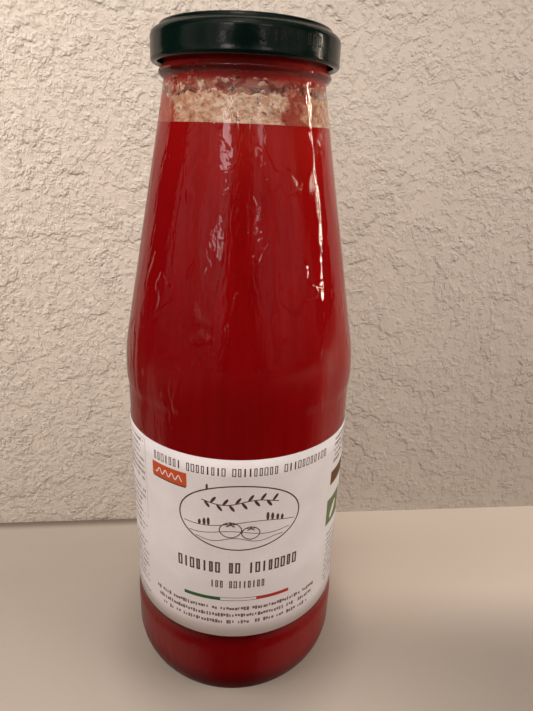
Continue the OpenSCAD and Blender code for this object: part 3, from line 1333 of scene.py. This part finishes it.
@dataclass
class WrapLabel:
    """The paper wrap and its print: plain fields, bars and a small drawing of hills and fruit."""

    paper_t: float = 0.15 * MM
    bare: float = math.radians(14.0)
    front: float = math.radians(1.6)
    around: int = 260
    oval: tuple[float, float, float] = (20.2 * MM, 12.3 * MM, 84.0 * MM)
    headings: tuple[MarkRow, ...] = (
        MarkRow(-45.4, 46.6, 101.2 * MM, 2.9 * MM, 0.30 * MM, (7, 8, 9, 11), 3),
        MarkRow(-31.6, 30.4, 64.2 * MM, 4.4 * MM, 0.58 * MM, (7, 2, 8), 4),
        MarkRow(-14.2, 13.3, 57.2 * MM, 3.0 * MM, 0.36 * MM, (3, 8), 6),
    )
    side: TickBlock = TickBlock(55.5, 98.0, 103.2 * MM, 2.2 * MM, 5, 1.3 * MM, 32, 3.0)
    side_low: TickBlock = TickBlock(
        55.5, 98.0, 63.0 * MM, 2.4 * MM, 10, 1.2 * MM, 33, 3.0, (0, 1, 2, 0, 1)
    )
    back: TickBlock = TickBlock(112.0, 164.0, 101.0 * MM, 2.7 * MM, 22, 1.3 * MM, 34, 4.0)
    back_left: TickBlock = TickBlock(-164.0, -112.0, 101.0 * MM, 2.7 * MM, 22, 1.3 * MM, 35, 4.0)

    @property
    def inner_r(self) -> float:
        """Radius of the paper's inside, just clear of the glass panel."""
        return abs(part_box("label")[0][1]) - 0.17 * MM

    @property
    def radius(self) -> float:
        """Radius of the printed side."""
        return self.inner_r + self.paper_t

    def build_paper(self) -> bpy.types.Object:
        """A closed strip: a thin rectangle carried round the axis and shut at both ends."""
        (_, _, z0), (_, _, z1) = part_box("label")
        edge = np.linspace(0.0, 1.0, 12)
        radius = np.repeat([self.radius, self.inner_r], edge.size)
        z = np.concatenate([z0 + (z1 - z0) * edge, z1 + (z0 - z1) * edge])
        turn = np.linspace(TURN / 4 + self.bare / 2, TURN / 4 + TURN - self.bare / 2, self.around)
        quads = grid_quads(z.size, self.around, True, False)
        first = np.arange(z.size)[None, :] * self.around
        faces = [quads, first[:, ::-1], first + self.around - 1]
        paper = make_object("label_wrap", about_axis(radius[:, None], turn, z[:, None]), faces)
        paper.data.polygons.foreach_set("use_smooth", [True] * len(quads) + [False] * 2)
        return present(paper, Slot.LABEL, CoatedPaper().material(), "label")

    def sheet(self, ink: Inks, lift: float = 0.02 * MM) -> PrintSheet:
        """An empty print layer of one ink."""
        return PrintSheet(ink, self.radius, self.front, lift)

    def at(self, degrees: float) -> float:
        """Distance along the label of an angle measured from its front middle."""
        return math.radians(degrees) * self.radius

    def mark_row(self, sheet: PrintSheet, row: MarkRow) -> None:
        """Groups of plain marks in a row, with one empty place between groups."""
        rng = np.random.default_rng(row.seed)
        places = sum(row.groups) + len(row.groups) - 1.0
        pitch = (self.at(row.right) - self.at(row.left)) / places
        s = self.at(row.left)
        for group in row.groups:
            for kind in rng.choice(3, group, p=(0.45, 0.25, 0.30)):
                sheet.mark(int(kind), s + 0.13 * pitch, row.middle, 0.74 * pitch, row.tall, row.line)
                s += pitch
            s += pitch

    def tick_rows(
        self, sheet: PrintSheet, spans: np.ndarray, z: np.ndarray, tall: float, seed: int
    ) -> None:
        """Rows of tiny ticks in word-length groups, where small print would be.

        Args:
            sheet: the ink layer.
            spans: first and last angle of each row.
            z: height of each row's middle.
            tall: height of the tallest tick.
            seed: for the choice of ticks.
        """
        rng = np.random.default_rng(seed)
        pitch = 0.62 * tall
        places = int(self.at(float(np.ptp(spans, axis=1).max())) / pitch)
        s = np.radians(spans[:, :1]) * self.radius + pitch * np.arange(places)[None, :]
        keep = (rng.random(s.shape) > 0.13) & (s < np.radians(spans[:, 1:]) * self.radius)
        heights = tall * rng.choice([0.62, 0.7, 1.0], s.shape)
        level = z[:, None] + (heights - tall) * 0.25 * rng.choice([-1.0, 1.0], s.shape)
        widths = pitch * rng.choice([0.5, 0.7, 0.84], s.shape)
        sheet.ticks(s[keep], level[keep], widths[keep], heights[keep])

    def tick_block(self, sheet: PrintSheet, block: TickBlock) -> None:
        """The rows of one block."""
        self.tick_rows(sheet, block.spans, block.heights, block.tall, block.seed)

    def build_headings(self) -> PrintSheet:
        """The heading rows, the oval and the drawing's lines, in brown."""
        ink = self.sheet(Inks.BROWN)
        for row in self.headings:
            self.mark_row(ink, row)
        t = np.linspace(0.0, TURN, 97)
        wide, tall, middle = self.oval
        ink.stroke(wide * np.cos(t), middle + tall * np.sin(t), 0.46 * MM)
        self.draw_garland(ink, middle + 6.0 * MM)
        self.draw_hills(ink, middle)
        self.draw_leaf(ink, self.at(-15.6), 94.2 * MM, 2.3 * MM, 0.75 * MM, UPRIGHT)
        return ink

    def draw_leaf(
        self, ink: PrintSheet, s: float, z: float, length: float, wide: float, lean: float
    ) -> None:
        """A pointed leaf: its half width is a sine of the way along it.

        Args:
            ink: the ink layer.
            s: its foot, along the label.
            z: its foot, height.
            length: from foot to point.
            wide: greatest width.
            lean: its direction, in radians from rightwards.
        """
        t = np.linspace(0.0, TURN, 25)
        along, across = length * (0.5 - 0.5 * np.cos(t)), wide / 2.0 * np.sin(t)
        right, up = math.cos(lean), math.sin(lean)
        middle = (s + length / 2.0 * right, z + length / 2.0 * up)
        ink.disc(s + along * right - across * up, z + along * up + across * right, middle)

    def draw_garland(self, ink: PrintSheet, z: float) -> None:
        """A flourish above the hills: a waving stem with pointed leaves on alternate sides."""
        wave = 3.4 * MM
        s = np.linspace(-12.5 * MM, 12.5 * MM, 90)
        ink.stroke(s, z + 0.9 * MM * np.sin(s / wave), 0.34 * MM)
        for n, at in enumerate(np.linspace(-11.5, 10.5, 12) * MM):
            side = 1.0 if n % 2 else -1.0
            foot = z + 0.9 * MM * math.sin(at / wave)
            self.draw_leaf(ink, at, foot, 2.9 * MM, 1.0 * MM, 0.95 * side)

    def draw_hills(self, ink: PrintSheet, mid: float) -> None:
        """Hill lines, a row of small pointed trees and two round fruits with star leaves."""
        s = np.linspace(-18.6 * MM, 18.6 * MM, 80)
        hill = mid - 2.2 * MM + 1.1 * MM * np.sin(s / (6.0 * MM) + 0.6)
        ink.stroke(s, hill, 0.26 * MM)
        for share, drop, wave in ((0.90, 5.6, 4.2), (0.78, 8.3, 3.1)):
            line = mid - drop * MM + 0.7 * MM * np.sin(s / (wave * MM) + 2.2)
            ink.stroke(s * share, line, 0.24 * MM)
        for at in (-13.2, -11.6, -10.2, 9.0, 10.6, 12.4, 14.0):
            foot = float(np.interp(at * MM, s, hill))
            tall = (2.6 + 0.6 * math.sin(at * 3.0)) * MM
            self.draw_leaf(ink, at * MM, foot, tall, 1.0 * MM, UPRIGHT)
        t = np.linspace(0.0, TURN, 33)
        for s0, z0, size in ((-3.0, -4.4, 3.4), (3.6, -5.6, 2.8)):
            round_s = s0 * MM + size * MM * np.cos(t) * (1.0 + 0.06 * np.cos(2 * t))
            ink.stroke(round_s, mid + z0 * MM + 0.86 * size * MM * np.sin(t), 0.34 * MM)
            star = 0.42 * size * MM * (1.0 + 0.75 * np.cos(5.0 * t))
            top = mid + (z0 + 0.62 * size) * MM
            ink.disc(s0 * MM + star * np.sin(t), top + 0.45 * star * np.cos(t), (s0 * MM, top))

    def build_small_print(self) -> list[PrintSheet]:
        """Rows of ticks below the bar, and fainter ones in the columns at the sides and back."""
        fine, faint = self.sheet(Inks.FINE), self.sheet(Inks.FAINT)
        foot = np.array([[-46.5, 45.0], [-45.0, 43.0], [-42.0, 40.0]])
        self.tick_rows(fine, foot, np.array([46.6, 43.6, 40.6]) * MM, 1.6 * MM, 30)
        rng = np.random.default_rng(9)
        n = np.arange(27)
        stop = -54.0 - rng.choice([0.0, 0.5, 1.0, 5.0], n.size)
        column = np.stack([np.full(n.size, -103.0), stop], axis=-1)
        used = n % 9 != 7
        self.tick_rows(faint, column[used], (102.6 - 2.45 * n[used]) * MM, 1.2 * MM, 31)
        for low, high, line in ((91.0, 104.2, 0.16), (73.0, 90.0, 0.12)):
            faint.frame(self.at(-104.5), self.at(-52.6), low * MM, high * MM, line * MM)
        self.tick_block(fine, self.side)
        for block in (self.side_low, self.back, self.back_left):
            self.tick_block(faint, block)
        return [fine, faint]

    def build_fields(self) -> list[PrintSheet]:
        """The plain colour fields: tag, three-part bar and side boxes."""
        orange, ochre = self.sheet(Inks.ORANGE), self.sheet(Inks.OCHRE, 0.03 * MM)
        pale, leaf = self.sheet(Inks.PALE, 0.04 * MM), self.sheet(Inks.LEAF)
        green, red = self.sheet(Inks.GREEN), self.sheet(Inks.RED)
        left, right = self.at(-46.4), self.at(-25.6)
        orange.box(left, right, 93.6 * MM, 98.6 * MM)
        ochre.box(left + 0.3 * MM, right - 0.3 * MM, 93.1 * MM, 93.6 * MM)
        s = np.linspace(left + 1.6 * MM, right - 1.6 * MM, 60)
        pale.stroke(s, 96.0 * MM + 0.95 * MM * np.sin(s / (0.42 * MM)), 0.38 * MM)
        bar0, bar1, cut = self.at(-28.0), self.at(26.5), self.at(9.0)
        low, high, line = 50.1 * MM, 51.5 * MM, 0.2 * MM
        green.box(bar0, -cut, low, high)
        red.box(cut, bar1, low, high)
        ochre.box(-cut, cut, low, low + line)
        ochre.box(-cut, cut, high - line, high)
        ochre.box(self.at(54.0), self.at(74.0), 85.0 * MM, 90.5 * MM)
        leaf.box(self.at(52.6), self.at(71.0), 68.0 * MM, 79.0 * MM)
        self.draw_leaf(pale, self.at(57.0), 70.0 * MM, 7.5 * MM, 3.0 * MM, 0.9)
        return [orange, ochre, pale, green, red, leaf]

    def build(self) -> None:
        """Build and dress the paper and every print layer."""
        self.build_paper()
        for layer in (self.build_headings(), *self.build_small_print(), *self.build_fields()):
            layer.build()


# ---------------------------------------------------------------------------------------------
# Stage, light and camera
# ---------------------------------------------------------------------------------------------


@dataclass(frozen=True)
class PlainStage:
    """A pale table top and a pale backdrop that only shows its front, both with painted light and shade.
    """

    table: Colour = (0.49, 0.425, 0.362)
    wall: Colour = (0.90, 0.80, 0.69)
    behind: float = 0.070
    turn: float = math.radians(3.3)
    half: float = 1.6
    wall_left: float = -0.165
    wall_right: float = 0.25
    wall_top: float = 0.75
    cuts: int = 24
    painted_pool_brightness: float = 1.5
    seam_shadow_colour: Colour = (0.10, 0.065, 0.045)
    soft: Grain = Grain(1.0, 9.0, 3.0, 0.5)
    fine: Grain = Grain(1.0, 700.0, 3.0, 0.6)
    broad: Grain = Grain(1.0, 60.0, 4.0, 0.6)
    pits: Grain = Grain(1.0, 260.0, 4.0, 0.62)
    grit: Grain = Grain(1.0, 520.0, 4.0, 0.65)
    table_bump_h: float = 0.04 * MM
    wall_bump_h: float = 0.52 * MM

    def build_table(self) -> bpy.types.Object:
        """The table top: a level sheet with a painted pool of light behind on the right, and painted
        shadow in front on the right, round the foot and along the backdrop's foot; mirrored in the glass,
        its far front fades to dark as painted shade.
        """
        line = np.linspace(-self.half, self.half, self.cuts)
        x, y = np.meshgrid(line, line, indexing="ij")
        floor = open_sheet("table_top", x, y, 0.0 * x)
        paint = Paint.named("pale_table")
        across, depth, _ = paint.axes()
        soft = paint.noise(self.soft)
        fine = paint.noise(self.fine)
        mottle = (soft * 0.7 + fine * 0.3).rise(0.3, 0.8)
        colour = paint.mix(mottle, self.table, scaled(self.table, 0.93))
        mirrored = paint.node("ShaderNodeLightPath", out="Is Glossy Ray")
        # Painted light: a pool of light on the table behind and to the right of the bottle.
        painted_light_pool = across.rise(0.02, 0.06) * depth.rise(-0.02, 0.02)
        colour = paint.mix(painted_light_pool * 0.8, colour, scaled(self.table, self.painted_pool_brightness))
        # Painted shadow: darker in front to the right, and a soft contact shadow round the bottle's foot.
        painted_shade_front_right = across.rise(0.03, 0.12) * depth.rise(0.02, -0.03) * 0.5
        close = (across * across + depth * depth).rise(0.0034, 0.0014) * 0.35
        colour = paint.mix((painted_shade_front_right + close).under(1.0), colour, scaled(self.table, 0.4))
        # Painted shadow: a dark line along the backdrop's foot, on the left.
        painted_seam_shadow = (depth - across * math.tan(self.turn)).rise(self.behind - 0.007, self.behind - 0.001)
        colour = paint.mix(painted_seam_shadow * across.rise(0.02, -0.06) * 0.75, colour, self.seam_shadow_colour)
        # Painted shade seen only in reflections: the table darkens towards its front, most straight ahead
        # of the bottle and less far to the sides.
        ahead = abs(across).rise(0.032, 0.004) * 0.35
        beside = abs(across).rise(0.2, 0.7) * 0.6
        fade = (depth.rise(-0.030, -0.085) * 0.47 + 0.48 + ahead).under(0.97) * (1.0 - beside)
        colour = paint.mix(fade * mirrored, colour, (0.0, 0.0, 0.0))
        relief = paint.bump(fine, self.table_bump_h)
        made = paint.principled(
            Base_Color=colour, Roughness=0.55, Specular_IOR_Level=0.2, Normal=relief
        )
        floor.data.materials.append(made)
        return floor

    def build_wall(self) -> bpy.types.Object:
        """The backdrop: an upright sheet with faint trowelled relief and painted shade to the right,
        towards the bottom and higher up, darker still in reflections and most on the left; clear from
        behind.
        """
        line = np.linspace(self.wall_left, self.wall_right, self.cuts)
        x, z = np.meshgrid(line, np.linspace(0.0, self.wall_top, self.cuts), indexing="ij")
        wall = open_sheet("backdrop", x, self.behind + x * math.tan(self.turn), z)
        paint = Paint.named("pale_backdrop")
        broad = paint.noise(self.broad)
        pits = paint.noise(self.pits)
        colour = paint.mix(broad.rise(0.3, 0.7), self.wall, scaled(self.wall, 0.96))
        across, _, up = paint.axes()
        # Painted shade: the backdrop darkens to the right, towards the bottom and higher up, and more
        # again in reflections, most on the left.
        dim = across.rise(-0.06, 0.19) * 0.35 + up.rise(0.17, 0.0) * 0.20 + up.rise(0.24, 0.33) * 0.08
        mirrored = paint.node("ShaderNodeLightPath", out="Is Glossy Ray")
        dim = (dim + (across.rise(0.0, -0.05) * 0.40 + 0.12) * mirrored).under(1.0)
        colour = paint.mix(dim, colour, scaled(self.wall, 0.25))
        grit = paint.noise(self.grit)
        coarse = across.rise(0.05, -0.06)
        relief = pits.rise(0.44, 0.66) * 0.8 + broad.rise(0.54, 0.60) + grit * (coarse * 0.8 + 0.4)
        values = {"Base Color": colour, "Roughness": 0.7, "Specular IOR Level": 0.25}
        values["Normal"] = paint.bump(relief, self.wall_bump_h)
        solid = paint.node("ShaderNodeBsdfPrincipled", None, values)
        back = paint.node("ShaderNodeNewGeometry", out="Backfacing")
        clear = paint.node("ShaderNodeBsdfTransparent")
        either = paint.node("ShaderNodeMixShader", None, {0: back, 1: solid, 2: clear})
        wall.data.materials.append(paint.output(either))
        return wall

    def build(self) -> None:
        """Build both sheets."""
        self.build_table()
        self.build_wall()


WARM: Colour = (1.0, 0.95, 0.90)
AMBER: Colour = (1.0, 0.84, 0.66)
ROSE: Colour = (1.0, 0.84, 0.84)


@dataclass(frozen=True)
class SoftBox:
    """One rectangular area light, aimed at a point on the axis."""

    name: str
    azimuth: float
    elevation: float
    distance: float
    width: float
    height: float
    radiance: float
    tint: Colour
    mirrored: bool = True
    aim_z: float = 0.12

    def build(self) -> None:
        """Make the light; its power gives the wanted radiance: power = radiance * area * pi."""
        lamp = bpy.data.lights.new(self.name, "AREA")
        lamp.shape = "RECTANGLE"
        lamp.size, lamp.size_y = self.width, self.height
        lamp.energy = self.radiance * self.width * self.height * math.pi
        lamp.color = self.tint
        a, e = math.radians(self.azimuth), math.radians(self.elevation)
        out = np.array([math.sin(a) * math.cos(e), -math.cos(a) * math.cos(e), math.sin(e)])
        side = np.array([math.cos(a), math.sin(a), 0.0])
        origin = np.array([0.0, 0.0, self.aim_z]) + out * self.distance
        made = place_in_scene(self.name, lamp, (side, np.cross(out, side), out), origin)
        made.visible_camera = False
        made.visible_glossy = self.mirrored
        made.visible_transmission = self.mirrored


@dataclass(frozen=True)
class SoftPanel:
    """One soft-edged bright panel from a low edge up to the zenith, in degrees about the bottle."""

    left: float
    right: float
    low: float
    level: float
    edge: float = 5.0
    rise: float = 14.0
    skew: float = 0.0


@dataclass(frozen=True)
class Studio:
    """All lights and the faint surroundings."""

    boxes: tuple[SoftBox, ...] = (
        SoftBox("key_left", -70.0, 40.0, 0.48, 0.27, 0.27, 6.6, WARM, mirrored=False),
        SoftBox("key_right", 72.0, 30.0, 0.9, 0.45, 0.45, 6.2, WARM, mirrored=False),
        SoftBox("key_top", -20.0, 52.0, 0.9, 0.50, 0.50, 1.1, WARM, mirrored=False),
        SoftBox("window_strip", 96.0, 12.0, 1.0, 0.024, 0.42, 40.0, AMBER),
        SoftBox("window_low", 88.0, 9.0, 1.0, 0.09, 0.03, 7.0, AMBER, aim_z=0.219),
        SoftBox("glint_left", -26.5, 11.0, 0.9, 0.09, 0.03, 5.5, ROSE, aim_z=0.170),
        SoftBox("glint_right", 19.0, 13.2, 0.9, 0.05, 0.03, 6.0, ROSE, aim_z=0.174),
        SoftBox("lamp_high", -12.0, 46.0, 0.9, 0.13, 0.10, 4.0, (1.0, 0.90, 0.86)),
        SoftBox("lamp_front", -21.5, 20.8, 0.925, 0.19, 0.09, 5.0, ROSE, aim_z=0.195),
        SoftBox("lamp_side", 22.5, 21.6, 0.925, 0.20, 0.07, 2.4, ROSE, aim_z=0.195),
    )
    air: Colour = (0.022, 0.020, 0.018)
    glow: Colour = (1.0, 0.86, 0.80)
    panels: tuple[SoftPanel, ...] = (
        SoftPanel(-80.0, -15.0, 2.0, 0.36, edge=3.0, skew=-0.7),
        SoftPanel(16.0, 74.0, 2.0, 0.27, edge=6.0, skew=0.9),
        SoftPanel(-62.0, -15.0, 26.0, 0.25, edge=3.0, rise=8.0, skew=-0.7),
        SoftPanel(15.0, 46.0, 26.0, 0.42, edge=4.0, rise=8.0, skew=0.9),
        SoftPanel(-95.0, 95.0, 46.0, 0.22, edge=12.0, rise=10.0),
    )
    folds: Grain = Grain(0.15, 9.0, 4.0, 0.65)

    def build_surroundings(self) -> None:
        """A dim world with soft-edged panels: smooth steps in azimuth times one in elevation."""
        world = bpy.data.worlds.new("surroundings")
        world.use_nodes = True
        paint = Paint(world.node_tree)
        x, y, z = paint.axes()
        turn = x.math("ARCTAN2", y * -1.0) * math.degrees(1.0)
        lift = z.math("ARCSINE") * math.degrees(1.0)
        folds = paint.noise(self.folds)
        total: "Signal | float" = 0.0
        for panel in self.panels:
            leant = turn + (lift - 10.0) * panel.skew
            across = leant.rise(panel.left - panel.edge, panel.left + panel.edge)
            across = across * leant.rise(panel.right + panel.edge, panel.right - panel.edge)
            up = lift.rise(panel.low - panel.rise, panel.low + panel.rise) * panel.level
            total = across * up + total
        colour = paint.mix(total * (folds.rise(0.30, 0.70) * 1.1 + 0.45), self.air, self.glow)
        paint.feed(world.node_tree.nodes["Background"].inputs["Color"], colour)
        bpy.context.scene.world = world

    def build(self) -> None:
        """Make the lights and the surroundings."""
        for box in self.boxes:
            box.build()
        self.build_surroundings()
        bpy.context.scene.view_settings.view_transform = "Standard"
        bpy.context.scene.view_settings.look = "None"
        log.info("%d lights, %d panels", len(self.boxes), len(self.panels))


@dataclass(frozen=True)
class Viewpoint:
    """The camera: close, a little above the label, looking down past the bottle's middle."""

    back: float = 177.9 * MM
    up: float = 194.2 * MM
    yaw: float = math.radians(3.06)
    down: float = math.radians(21.35)
    roll: float = math.radians(2.27)
    lens: float = 27.04

    def build(self) -> None:
        """Make the camera and set it as the scene's own."""
        a, e = self.yaw, self.down
        forward = np.array([math.sin(a) * math.cos(e), math.cos(a) * math.cos(e), -math.sin(e)])
        level = np.array([math.cos(self.yaw), -math.sin(self.yaw), 0.0])
        above = np.cross(level, forward)
        right = math.cos(self.roll) * level + math.sin(self.roll) * above
        top = -math.sin(self.roll) * level + math.cos(self.roll) * above
        data = bpy.data.cameras.new("camera")
        data.lens, data.sensor_width = self.lens, 36.0
        data.clip_start, data.clip_end = 0.005, 50.0
        origin = np.array([0.0, -self.back, self.up])
        bpy.context.scene.camera = place_in_scene("camera", data, (right, top, -forward), origin)


def main() -> None:
    """Build every sub-assembly in order, then the stage, the lights and the camera."""
    glass = GlassBottle(height=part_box("bottle")[1][2])
    glass.build()
    Filling(glass).build()
    TwistLid(glass).build()
    WrapLabel().build()
    PlainStage().build()
    Studio().build()
    Viewpoint().build()


if __name__ == "__main__":
    logging.basicConfig(level=logging.INFO, format="%(name)s: %(message)s")
    main()
